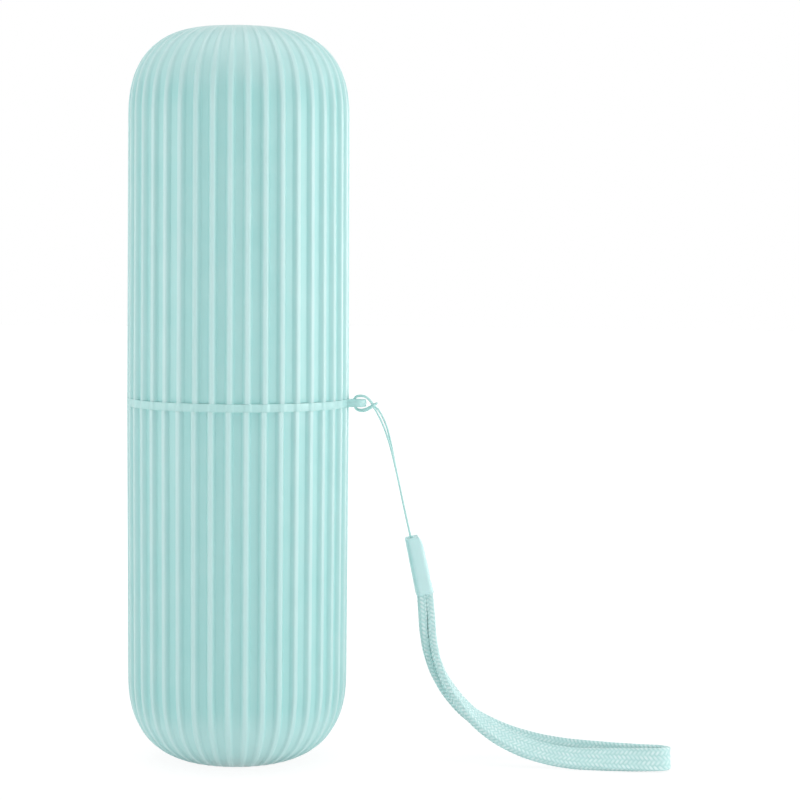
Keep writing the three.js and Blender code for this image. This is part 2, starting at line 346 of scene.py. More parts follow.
@dataclass(frozen=True)
class Yarn:
    """Polyester yarn, for the twisted cord and the braided webbing.

    The height of the plies or yarns is modelled, and sets their colour: painted shade between them,
    a painted highlight on top.
    """

    name: str
    # Painted shade: the colour down between the yarns
    groove_shade_colour: str
    colour: str
    # Painted highlight: the colour on the yarns' crowns
    crown_highlight_colour: str
    roughness: float = 0.75
    # A sheen stands for the loose filament ends
    sheen: float = 0.2
    sheen_roughness: float = 0.45
    ior: float = 1.54
    # Single filaments of 0.02 mm would not show, so bundles of them are drawn at this size
    fibre_size: float = 0.3 * MM
    fibre_height: float = 0.03 * MM
    # The crown's painted highlight comes in from the first of these heights, and would be full at the
    # second
    crown_span: tuple[float, float] = (0.5, 1.1)

    def make(self) -> bpy.types.Material:
        """Builds the material.

        Returns:
            The material.
        """
        material, tree = new_material(self.name)
        place = add_node(tree, "ShaderNodeTexCoord").outputs["Object"]
        crown = add_node(tree, "ShaderNodeAttribute", {"attribute_name": CROWN_LAYER}).outputs["Fac"]
        fibre = add_node(
            tree, "ShaderNodeTexNoise",
            {"Scale": 1 / self.fibre_size, "Detail": 2.0, "Roughness": 0.6}, {"Vector": place},
        ).outputs["Fac"]
        # Painted shade: darker down between the yarns, by their height
        body = add_node(
            tree, "ShaderNodeMix",
            {
                "data_type": "RGBA",
                6: linear_colour(self.groove_shade_colour), 7: linear_colour(self.colour),
            },
            {0: crown},
        ).outputs[2]
        # Painted highlight: paler on the crowns of the yarns, broken up by the fibres
        low, high = self.crown_span
        shine = add_node(
            tree, "ShaderNodeMapRange", {"From Min": low, "From Max": high}, {"Value": crown},
        ).outputs["Result"]
        lit = add_node(
            tree, "ShaderNodeMath", {"operation": "MULTIPLY"}, {0: shine, 1: fibre},
        ).outputs[0]
        painted_light_tint = add_node(
            tree, "ShaderNodeMix", {"data_type": "RGBA", 7: linear_colour(self.crown_highlight_colour)},
            {0: lit, 6: body},
        ).outputs[2]
        bump = add_node(
            tree, "ShaderNodeBump", {"Strength": 1.0, "Distance": self.fibre_height},
            {"Height": fibre},
        )
        shader = add_node(
            tree, "ShaderNodeBsdfPrincipled",
            {
                "Roughness": self.roughness, "IOR": self.ior,
                "Sheen Weight": self.sheen, "Sheen Roughness": self.sheen_roughness,
            },
            {"Base Color": painted_light_tint, "Normal": bump.outputs["Normal"]},
        )
        add_node(tree, "ShaderNodeOutputMaterial", links={"Surface": shader.outputs["BSDF"]})
        return material


@dataclass(frozen=True)
class PaperFloor:
    """White paper sweep. To the camera and in reflections it is white, but for the case's shadow."""

    name: str = "floor_paper"
    colour: str = "#fafafa"
    # How much of the paper's own light shows near the case, over this much plain white
    shown_shade: float = 0.16
    shown_white: float = 0.90
    # Between these distances from the case it turns plain white
    fade_from: float = 150 * MM
    fade_to: float = 420 * MM

    def make(self) -> bpy.types.Material:
        """Builds the material.

        Returns:
            The material.
        """
        material, tree = new_material(self.name)
        paper = add_node(
            tree, "ShaderNodeBsdfDiffuse", {"Color": linear_colour(self.colour)}
        ).outputs["BSDF"]
        shade = add_node(
            tree, "ShaderNodeBsdfDiffuse", {"Color": (*[self.shown_shade] * 3, 1.0)}
        ).outputs["BSDF"]
        place = add_node(tree, "ShaderNodeTexCoord").outputs["Object"]
        off = add_node(tree, "ShaderNodeVectorMath", {"operation": "LENGTH"}, {0: place})
        white = add_node(
            tree, "ShaderNodeMapRange",
            {
                "interpolation_type": "SMOOTHSTEP",
                "From Min": self.fade_from, "From Max": self.fade_to,
                "To Min": self.shown_white, "To Max": 1.0,
            },
            {"Value": off.outputs["Value"]},
        ).outputs["Result"]
        glow = add_node(tree, "ShaderNodeEmission", links={"Strength": white}).outputs[0]
        seen = add_node(tree, "ShaderNodeAddShader", links={0: shade, 1: glow}).outputs[0]
        shown = shown_to_camera(tree)
        mixed = add_node(tree, "ShaderNodeMixShader", links={0: shown, 1: paper, 2: seen})
        add_node(tree, "ShaderNodeOutputMaterial", links={"Surface": mixed.outputs[0]})
        return material


def shown_to_camera(tree: bpy.types.NodeTree) -> bpy.types.NodeSocket:
    """Gives 1 on the rays that show a background: camera, glossy and transmission rays.

    Args:
        tree: The floor's or the world's node tree.

    Returns:
        The socket that holds it.
    """
    path = add_node(tree, "ShaderNodeLightPath")
    either = add_node(
        tree, "ShaderNodeMath", {"operation": "MAXIMUM"},
        {0: path.outputs["Is Camera Ray"], 1: path.outputs["Is Glossy Ray"]},
    )
    return add_node(
        tree, "ShaderNodeMath", {"operation": "MAXIMUM"},
        {0: either.outputs[0], 1: path.outputs["Is Transmission Ray"]},
    ).outputs[0]


def catmull_rom(rows: Sequence[Vector], share: float) -> Vector:
    """Reads a smooth curve through points, at the same step from each point to the next.

    Args:
        rows: The points, with any further values that go with them.
        share: From 0 at the first point to 1 at the last.

    Returns:
        The point, with its further values.
    """
    last = len(rows) - 1
    place = min(max(share, 0.0), 1.0) * last
    k = min(int(place), last - 1)
    t = place - k
    start, end = rows[k], rows[k + 1]
    before = rows[k - 1] if k > 0 else start * 2 - end
    after = rows[k + 2] if k + 2 <= last else end * 2 - start
    leave, arrive = (end - before) / 2, (after - start) / 2
    square, cube = t * t, t * t * t
    return (
        start * (2 * cube - 3 * square + 1) + leave * (cube - 2 * square + t)
        + end * (3 * square - 2 * cube) + arrive * (cube - square)
    )


class Route:
    """The centre line of a cord, read by its length."""

    def __init__(self, rows: Sequence[Row], knots_per_row: int = 100) -> None:
        """Follows the rows closely and adds up the length.

        Args:
            rows: Points in metres, each with any further value that goes with it.
            knots_per_row: How many short steps stand for the stretch between two rows.
        """
        points = [Vector(row) for row in rows]
        steps = knots_per_row * (len(points) - 1)
        self.knots = [catmull_rom(points, k / steps) for k in range(steps + 1)]
        self.along = [0.0]
        for a, b in zip(self.knots, self.knots[1:]):
            self.along.append(self.along[-1] + (b.to_3d() - a.to_3d()).length)

    @property
    def length(self) -> float:
        """The whole length."""
        return self.along[-1]

    def at(self, distance: float) -> Vector:
        """Reads the point at a distance from the start.

        Args:
            distance: Length from the start.

        Returns:
            The point, with its further value.
        """
        k = min(max(bisect.bisect_right(self.along, distance) - 1, 0), len(self.along) - 2)
        step = self.along[k + 1] - self.along[k]
        return self.knots[k].lerp(self.knots[k + 1], (distance - self.along[k]) / step)

    def tangent(self, distance: float, reach: float = 0.15 * MM) -> Vector:
        """Reads the direction of travel at a distance from the start.

        Args:
            distance: Length from the start.
            reach: How far to either side it is taken.

        Returns:
            A unit vector.
        """
        low = max(distance - reach, 0.0)
        high = min(distance + reach, self.length)
        return (self.at(high).to_3d() - self.at(low).to_3d()).normalized()


def wrap_tube(
    around: int, along: int, place: Callable[[float, float], tuple[Vector, float]],
) -> bmesh.types.BMesh:
    """Rolls a flat grid into a closed tube with capped ends.

    Args:
        around: Faces round the tube.
        along: Faces along the tube.
        place: Gives the point for a share round the tube and a share along it, and how high the
            yarn stands there.

    Returns:
        The tube.
    """
    bm = bmesh.new()
    bm.loops.layers.uv.new("UVMap")
    crown_layer = bm.verts.layers.float.new(CROWN_LAYER)
    bmesh.ops.create_grid(bm, x_segments=around, y_segments=along, size=0.5, calc_uvs=True)
    for vertex in bm.verts:
        vertex.co, vertex[crown_layer] = place(vertex.co.x + 0.5, vertex.co.y + 0.5)
    bmesh.ops.remove_doubles(bm, verts=bm.verts, dist=MERGE_DISTANCE)
    open_edges = [edge for edge in bm.edges if edge.is_boundary]
    bmesh.ops.holes_fill(bm, edges=open_edges, sides=0)
    bmesh.ops.recalc_face_normals(bm, faces=bm.faces)
    return bm


@dataclass(frozen=True)
class Station:
    """One point of a turned outline, with the move that a flute's floor makes there."""

    radius: float
    height: float
    sink_out: float = 0.0
    sink_up: float = 0.0


def arc_stations(
    radius_at: float, height_at: float, round_radius: float, start: float, end: float,
    steps: int, sink_out: float = 0.0,
) -> list[Station]:
    """Rounds an edge of a turned outline.

    Args:
        radius_at: Radius of the arc's centre.
        height_at: Height of the arc's centre.
        round_radius: Radius of the rounding.
        start: Angle at which the arc starts, in degrees.
        end: Angle at which it ends, in degrees.
        steps: Straight steps that stand for the arc.
        sink_out: The flute's move of every point.

    Returns:
        The arc's stations.
    """
    stations = []
    for k in range(steps + 1):
        angle = math.radians(start + (end - start) * k / steps)
        stations.append(Station(
            radius_at + round_radius * math.cos(angle), height_at + round_radius * math.sin(angle),
            sink_out,
        ))
    return stations


@dataclass(frozen=True)
class Fluting:
    """Ribs round a barrel: rounded crests with flat valleys between. A valley lies on +X."""

    count: int = 40
    # Half widths as shares of the pitch, from the crest's middle
    crest_share: float = 0.085
    valley_share: float = 0.285
    # How far the crest's rounded top alone falls off, as a share of the depth
    crown_share: float = 0.2
    # Where the mesh has its points in half a rib, from the crest's middle, as shares of the pitch
    half_shares: tuple[float, ...] = (
        0.0, 0.035, 0.06, 0.085, 0.11, 0.13, 0.15, 0.17, 0.19, 0.21, 0.23, 0.255, 0.285, 0.38,
        0.5,
    )

    @property
    def rib_shares(self) -> list[float]:
        """The places of one rib's points, from valley to valley.

        Returns:
            Shares of the pitch.
        """
        rising = [0.5 - share for share in reversed(self.half_shares)]
        falling = [0.5 + share for share in self.half_shares[1:]]
        return rising + falling

    def depth_share(self, rib_share: float) -> float:
        """Gives how deep the surface lies, from 0 on the crest to 1 in the valley.

        Args:
            rib_share: Place in the pitch, from 0 in one valley to 1 in the next.

        Returns:
            The share of the full depth.
        """
        off_crest = abs(rib_share - 0.5)
        crown = self.crown_share * min(off_crest / self.valley_share, 1.0) ** 2
        return crown + (1 - self.crown_share) * smooth_share(
            off_crest, self.crest_share, self.valley_share
        )

    def lathe(self, stations: Sequence[Station], turn: float = 0.0) -> bmesh.types.BMesh:
        """Spins an outline through one rib, cuts its flute, and repeats the rib round Z.

        Args:
            stations: The outline. It is closed by its own ends on the axis, or as a loop.
            turn: Extra turn of all the ribs, in radians.

        Returns:
            The closed body.
        """
        bm = bmesh.new()
        out_layer = bm.verts.layers.float.new("sink_out")
        up_layer = bm.verts.layers.float.new("sink_up")
        flute_layer = bm.verts.layers.float.new(FLUTE_LAYER)
        outline = []
        for station in stations:
            vertex = bm.verts.new((station.radius, 0.0, station.height))
            vertex[out_layer], vertex[up_layer] = station.sink_out, station.sink_up
            vertex[flute_layer] = math.hypot(station.sink_out, station.sink_up)
            outline.append(vertex)
        edges = [bm.edges.new(pair) for pair in zip(outline, outline[1:])]
        if stations[0].radius > 0:
            edges.append(bm.edges.new((outline[-1], outline[0])))
        shares, pitch = self.rib_shares, math.tau / self.count
        steps = len(shares) - 1
        bmesh.ops.spin(
            bm, geom=outline + edges, cent=(0, 0, 0), axis=(0, 0, 1), dvec=(0, 0, 0), angle=pitch,
            steps=steps, use_merge=False, use_duplicate=False,
        )
        for vertex in bm.verts:
            share = shares[round(math.atan2(vertex.co.y, vertex.co.x) / pitch * steps)]
            depth, angle = self.depth_share(share), share * pitch + turn
            radius = math.hypot(vertex.co.x, vertex.co.y) + vertex[out_layer] * depth
            vertex.co = Vector((
                radius * math.cos(angle), radius * math.sin(angle),
                vertex.co.z + vertex[up_layer] * depth,
            ))
            vertex[flute_layer] *= depth
        bmesh.ops.spin(
            bm, geom=bm.verts[:] + bm.edges[:] + bm.faces[:], cent=(0, 0, 0), axis=(0, 0, 1),
            dvec=(0, 0, 0), angle=math.tau - pitch, steps=self.count - 1, use_merge=False,
            use_duplicate=True,
        )
        bmesh.ops.remove_doubles(bm, verts=bm.verts, dist=MERGE_DISTANCE)
        bmesh.ops.recalc_face_normals(bm, faces=bm.faces)
        for name in ("sink_out", "sink_up"):
            bm.verts.layers.float.remove(bm.verts.layers.float[name])
        return bm


def finish_piece(
    bm: bmesh.types.BMesh, name: str, material: bpy.types.Material,
    crease_angle: float = MOULDED_CREASE,
) -> bpy.types.Object:
    """Turns a bmesh into an object at the origin, smooth but for its creases.

    Args:
        bm: The piece's mesh, which is freed.
        name: The object's name.
        material: Its finish.
        crease_angle: Edges sharper than this many degrees stay sharp.

    Returns:
        The object.
    """
    for face in bm.faces:
        face.smooth = True
    limit = math.radians(crease_angle)
    for edge in bm.edges:
        edge.smooth = edge.calc_face_angle(0.0) < limit
    mesh = bpy.data.meshes.new(name)
    bm.to_mesh(mesh)
    bm.free()
    mesh.materials.append(material)
    piece = bpy.data.objects.new(name, mesh)
    bpy.context.scene.collection.objects.link(piece)
    return piece


def dress(piece: bpy.types.Object, body: str, slot: str, *nodes: str) -> bpy.types.Object:
    """Lets a piece ride on its body in place of its CAD nodes, and reports it.

    Args:
        piece: The finished piece.
        body: The body that it moves with.
        slot: The record's material slot. It is not used.
        nodes: The CAD nodes that it stands for.

    Returns:
        The same piece.
    """
    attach(piece, body)
    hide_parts(*nodes)
    LOG.info("%s rides on %s, %d faces", piece.name, body, len(piece.data.polygons))
    return piece


class Half(Enum):
    """The two shells, which are the same kind of moulding."""

    CUP = "cup"
    COVER = "cover"


@dataclass(frozen=True)
class FlutedShell:
    """A shell that stands on its mouth at height zero, with its round end up."""

    half: Half
    length: float
    # Where the mouth lies in the whole, and the turn of the ribs that the photograph shows
    mouth_height: float
    rib_turn: float = 0.0
    mouth_radius: float = 30.8 * MM
    dome_height: float = 25.2 * MM
    dome_centre_radius: float = 6.0 * MM
    dome_power: float = 2.5
    dome_steps: int = 24
    draft_share: float = 0.0038
    end_radius: float = 12.0 * MM
    wall: float = 1.6 * MM
    floor: float = 2.0 * MM
    rib_depth: float = 1.2 * MM
    rib_fade_power: float = 0.45
    # Where the wall turns over, between these upward parts of its normal, the ribs lose this share
    turn_over: tuple[float, float] = (0.08, 0.42)
    turn_over_share: float = 0.5
    # The flutes run out between these radii of the flat end
    run_out_radii: tuple[float, float] = (12.5 * MM, 21.0 * MM)
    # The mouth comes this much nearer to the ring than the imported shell's
    mouth_reach: float = 0.18 * MM
    mouth_round: float = 0.05 * MM
    bore_lead: float = 0.35 * MM
    corner_steps: int = 3
    # Where the straight wall has its rings, from the shoulder down to the mouth
    wall_shares: tuple[float, ...] = (0.35, 0.7, 0.98)
    # The flat end is dished a little, round the mark of the gate
    dish_radius: float = 8.2 * MM
    dish_lip: float = 1.0 * MM
    dish_depth: float = 0.3 * MM
    dish_steps: int = 4
    gate_radius: float = 0.9 * MM
    gate_height: float = 0.18 * MM
    # The mark's rounded edge: shares of its radius, and of its height that it has fallen by there
    gate_rounding: tuple[Row, ...] = ((0.7, 0.0), (0.9, 0.25))
    fluting: Fluting = Fluting()

    def wall_stations(self, mouth_radius: float, end_height: float) -> list[Station]:
        """Follows a wall from the shoulder over the dome to the flat end.

        Args:
            mouth_radius: The wall's radius at the mouth.
            end_height: Height at which the dome ends.

        Returns:
            The stations, each with the unit normal in place of its sink.
        """
        shoulder = self.length - self.dome_height
        reach = mouth_radius - self.draft_share * shoulder - self.dome_centre_radius
        end_across = ((self.end_radius - self.dome_centre_radius) / reach) ** (self.dome_power / 2)
        end_angle = math.acos(end_across)
        power = 2 / self.dome_power
        rise = (end_height - shoulder) / math.sin(end_angle) ** power
        stations = []
        for k in range(self.dome_steps + 1):
            angle = end_angle * k / self.dome_steps
            across, up = math.cos(angle) ** power, math.sin(angle) ** power
            normal = Vector((
                across ** (self.dome_power - 1) / reach, up ** (self.dome_power - 1) / rise,
            )).normalized()
            stations.append(Station(
                self.dome_centre_radius + reach * across, shoulder + rise * up, *normal,
            ))
        return stations

    def sunk(self, station: Station) -> Station:
        """Gives a wall station its flute, as deep as the ribs are at its radius.

        Args:
            station: The station, with its unit normal in place of its sink.

        Returns:
            The station with its sink.
        """
        depth = self.rib_depth * (station.radius / self.mouth_radius) ** self.rib_fade_power
        depth *= smooth_share(station.radius, *self.run_out_radii)
        depth *= 1 - self.turn_over_share * smooth_share(station.sink_up, *self.turn_over)
        return Station(
            station.radius, station.height, -depth * station.sink_out, -depth * station.sink_up,
        )

    def end_stations(self) -> list[Station]:
        """Follows the flat end from its middle to the dome, with the dish and the gate's mark.

        Returns:
            The stations.
        """
        dish = self.length - self.dish_depth
        gate = dish + self.gate_height
        stations = [Station(0.0, gate)]
        for across, fall in self.gate_rounding:
            stations.append(Station(self.gate_radius * across, gate - self.gate_height * fall))
        stations += [Station(self.gate_radius, dish), Station(self.dish_radius / 2, dish)]
        for k in range(self.dish_steps + 1):
            share = k / self.dish_steps
            stations.append(Station(
                self.dish_radius + self.dish_lip * share,
                dish + self.dish_depth * smooth_share(share, 0.0, 1.0),
            ))
        stations.append(Station((self.dish_radius + self.dish_lip + self.end_radius) / 2, self.length))
        return stations

    def outline(self) -> list[Station]:
        """Follows the whole section: flat end, dome, wall, mouth, bore and inner end.

        Returns:
            The stations.
        """
        smooth_outside = self.wall_stations(self.mouth_radius, self.length)
        outside = [self.sunk(station) for station in smooth_outside]
        shoulder = outside[0]
        mouth = -self.mouth_reach
        corner = arc_stations(
            self.mouth_radius - self.mouth_round, mouth + self.mouth_round, self.mouth_round,
            0.0, -90.0, self.corner_steps, -self.rib_depth,
        )
        wall = []
        for share in self.wall_shares:
            height = shoulder.height * (1 - share)
            wall.append(self.sunk(Station(self.mouth_radius - self.draft_share * height, height, 1.0)))
        bore_radius = self.mouth_radius - self.rib_depth - self.wall
        lead = arc_stations(
            bore_radius + self.bore_lead, mouth + self.bore_lead, self.bore_lead,
            270.0, 180.0, self.corner_steps,
        )
        inside = [
            Station(station.radius, station.height)
            for station in self.wall_stations(bore_radius, self.length - self.floor)[::2]
        ]
        inner_height = self.length - self.floor
        inner_end = [Station(self.end_radius / 2, inner_height), Station(0.0, inner_height)]
        return self.end_stations() + outside[::-1] + wall + corner + lead + inside + inner_end

    def build(self, finish: bpy.types.Material) -> bpy.types.Object:
        """Makes the shell in its place and dresses it.

        Args:
            finish: The moulded plastic.

        Returns:
            The shell.
        """
        bm = self.fluting.lathe(self.outline(), self.rib_turn)
        place = Matrix.Translation((0, 0, self.mouth_height))
        if self.half is Half.CUP:
            place @= Matrix.Rotation(math.pi, 4, "X")
        bmesh.ops.transform(bm, matrix=place, verts=bm.verts)
        shell = finish_piece(bm, f"{self.half.value}_shell", finish)
        node = "lower_cup" if self.half is Half.CUP else "upper_cover"
        return dress(shell, self.half.value, "shell", node)


@dataclass(frozen=True)
class JoiningRing:
    """The flange between the shells, its two plug-in necks and the ear for the strap."""

    flange_base: float = 99.2 * MM
    flange_height: float = 2.2 * MM
    flange_radius: float = 30.8 * MM
    flange_round: float = 0.06 * MM
    flange_steps: int = 4
    flute_depth: float = 0.35 * MM
    neck_radius: float = 27.75 * MM
    neck_wall: float = 1.5 * MM
    upper_neck: float = 10.0 * MM
    lower_neck: float = 8.0 * MM
    neck_lead: float = 0.6 * MM
    neck_round: float = 0.25 * MM
    # How far from the neck's end the lead-in starts and where it has bent, as multiples of its
    # width, and how far in it has come at the bend
    lead_heights: tuple[float, float] = (2.2, 1.8)
    lead_bend: float = 0.03 * MM
    # The roundings at the neck's end, from outside to inside, as multiples of neck_round: how far
    # out from the lead-in's or the bore's radius each point lies, and how far from the end
    lead_rounding: tuple[Row, ...] = ((0.5, 1.3), (0.0, 0.4), (-1.0, 0.0))
    bore_rounding: tuple[Row, ...] = ((1.0, 0.0), (0.3, 0.3), (0.0, 1.0))
    ear_reach: float = 2.55 * MM
    ear_radius: float = 2.5 * MM
    ear_hole: float = 1.35 * MM
    # The hole lies this much nearer to the case than the middle of the ear's round end
    hole_inset: float = 0.6 * MM
    # The ear is this much thinner than the flange on each face
    ear_inset: float = 0.05 * MM
    ear_round: float = 0.4 * MM
    ear_root_radius: float = 29.3 * MM
    ear_segments: int = 64
    ear_round_steps: int = 5
    # Edges of the ear sharper than this many degrees are rounded
    ear_sharp_angle: float = 60.0
    # Behind its middle the round end widens to straight sides, from this share of its width on
    ear_side_share: float = 0.4
    fluting: Fluting = Fluting()

    def neck_end(self, height: float, upwards: bool) -> list[Station]:
        """Follows a neck's end from its outer wall over its lead-in to its bore.

        Args:
            height: Height of the neck's end.
            upwards: Whether the neck points up.

        Returns:
            The stations, from outside to inside.
        """
        way = 1 if upwards else -1
        start, bend = self.lead_heights
        stations = [
            Station(self.neck_radius, height - way * start * self.neck_lead),
            Station(self.neck_radius - self.lead_bend, height - way * bend * self.neck_lead),
        ]
        corners = (
            (self.neck_radius - self.neck_lead, self.lead_rounding),
            (self.neck_radius - self.neck_wall, self.bore_rounding),
        )
        for radius, rounding in corners:
            for out, down in rounding:
                stations.append(Station(
                    radius + out * self.neck_round, height - way * down * self.neck_round,
                ))
        return stations

    def body(self) -> bmesh.types.BMesh:
        """Turns the flange and the necks.

        Returns:
            The turned body.
        """
        base, top = self.flange_base, self.flange_base + self.flange_height
        edge = self.flange_radius - self.flange_round
        flute = -self.flute_depth
        bore = self.neck_radius - self.neck_wall
        corner, steps = self.flange_round, self.flange_steps
        upper_corner = arc_stations(edge, top - corner, corner, 90.0, 0.0, steps, flute)
        lower_corner = arc_stations(edge, base + corner, corner, 0.0, -90.0, steps, flute)
        upper_end = self.neck_end(top + self.upper_neck, True)
        lower_end = self.neck_end(base - self.lower_neck, False)
        stations = [
            *upper_end[::-1],
            Station(self.neck_radius, top + self.neck_round),
            Station(self.neck_radius + self.neck_round, top),
            Station(edge - self.neck_round, top, flute),
            *upper_corner,
            *lower_corner,
            Station(edge - self.neck_round, base, flute),
            Station(self.neck_radius + self.neck_round, base),
            Station(self.neck_radius, base - self.neck_round),
            *lower_end,
            Station(bore, (base + top) / 2),
        ]
        return self.fluting.lathe(stations)

    def ear(self) -> bmesh.types.BMesh:
        """Makes the ear: a rounded tab with a hole, which runs straight back into the flange.

        Returns:
            The ear.
        """
        bm = bmesh.new()
        middle = self.flange_radius + self.ear_reach
        base = self.flange_base + self.ear_inset
        rim = bmesh.ops.create_circle(
            bm, segments=self.ear_segments, radius=self.ear_radius,
            matrix=Matrix.Translation((middle, 0, base)),
        )["verts"]
        bmesh.ops.create_circle(
            bm, segments=self.ear_segments, radius=self.ear_hole,
            matrix=Matrix.Translation((middle - self.hole_inset, 0, base)),
        )
        bmesh.ops.bridge_loops(bm, edges=bm.edges[:])
        root_stretch = (middle - self.ear_root_radius) / self.ear_radius
        for vertex in rim:
            behind = middle - vertex.co.x
            if behind > 0:
                side = max(abs(vertex.co.y) / self.ear_radius, self.ear_side_share)
                vertex.co.y /= side
                vertex.co.x = middle - behind * root_stretch
        grown = bmesh.ops.extrude_face_region(bm, geom=bm.faces[:], use_keep_orig=True)["geom"]
        moved = [part for part in grown if isinstance(part, bmesh.types.BMVert)]
        bmesh.ops.translate(bm, verts=moved, vec=(0, 0, self.flange_height - 2 * self.ear_inset))
        bmesh.ops.recalc_face_normals(bm, faces=bm.faces)
        sharp = math.radians(self.ear_sharp_angle)
        corners = [edge for edge in bm.edges if edge.calc_face_angle(0.0) > sharp]
        bmesh.ops.bevel(
            bm, geom=corners, offset=self.ear_round, segments=self.ear_round_steps, profile=0.5,
            affect="EDGES", material=-1,
        )
        turn = Matrix.Rotation(-math.tau / self.fluting.count, 4, "Z")
        bmesh.ops.transform(bm, matrix=turn, verts=bm.verts)
        return bm

    def build(self, finish: bpy.types.Material) -> bpy.types.Object:
        """Joins the ear to the turned body and dresses the ring.

        Args:
            finish: The moulded plastic.

        Returns:
            The ring.
        """
        turned = finish_piece(self.body(), "ring_body", finish)
        ear = finish_piece(self.ear(), "ring_ear", finish)
        join = turned.modifiers.new("ear", "BOOLEAN")
        join.operation, join.solver, join.object = "UNION", "MANIFOLD", ear
        bpy.context.view_layer.update()
        seen = turned.evaluated_get(bpy.context.evaluated_depsgraph_get())
        bm = bmesh.new()
        bm.from_mesh(seen.to_mesh())
        seen.to_mesh_clear()
        for spare in (turned, ear):
            bpy.data.objects.remove(spare)
        ring = finish_piece(bm, "ring_with_ear", finish)
        return dress(ring, "ring", "ring", "joining_ring")


@dataclass(frozen=True)
class StrapString:
    """The thin cord: three plies, hitched through the ear with both ends in the sleeve."""

    diameter: float = 0.55 * MM
    plies: int = 3
    # One full turn of the plies
    lay: float = 1.6 * MM
    groove_share: float = 0.2
    around: int = 18
    rings_per_lay: int = 14
    # The hitch bends so tightly that the string's direction is read over this short reach
    tangent_reach: float = 0.06 * MM

    def build(self, finish: bpy.types.Material) -> tuple[bpy.types.Object, Route, list[Vector]]:
        """Makes the cord along its route and dresses it.

        Args:
            finish: The twisted cord's material.

        Returns:
            The cord, its route and the middles of its rings.
        """
        route = Route(STRING_ROUTE)
        rings = round(route.length / self.lay * self.rings_per_lay)
        turns = route.length / self.lay
        middles = [route.at(route.length * k / rings) for k in range(rings + 1)]
        frames = self.carried_frames(route, rings)

        def place(around: float, along: float) -> tuple[Vector, float]:
            """Puts a point of the grid on the plies.

            Args:
                around: Share of the way round.
                along: Share of the length.

            Returns:
                The point, and how high the ply stands there.
            """
            k = round(along * rings)
            side, up = frames[k]
            angle = math.tau * around
            ply = abs(math.cos(self.plies / 2 * (angle - math.tau * turns * along)))
            radius = self.diameter / 2 * (1 - self.groove_share * (1 - ply) ** 2)
            return middles[k] + (side * math.cos(angle) + up * math.sin(angle)) * radius, ply

        bm = wrap_tube(self.around, rings, place)
        cord = finish_piece(bm, "hitched_string", finish, CORD_CREASE)
        return dress(cord, "strap", "string", "strap_string"), route, middles

    def carried_frames(self, route: Route, rings: int) -> list[tuple[Vector, Vector]]:
        """Carries a cross-section along the route without letting it spin.

        Args:
            route: The cord's centre line.
            rings: How many steps are taken.

        Returns:
            The two directions of the cross-section at each ring.
        """
        side = route.tangent(0.0).orthogonal().normalized()
        frames = []
        for k in range(rings + 1):
            tangent = route.tangent(route.length * k / rings, self.tangent_reach)
            side = (side - tangent * side.dot(tangent)).normalized()
            frames.append((side, tangent.cross(side)))
        return frames


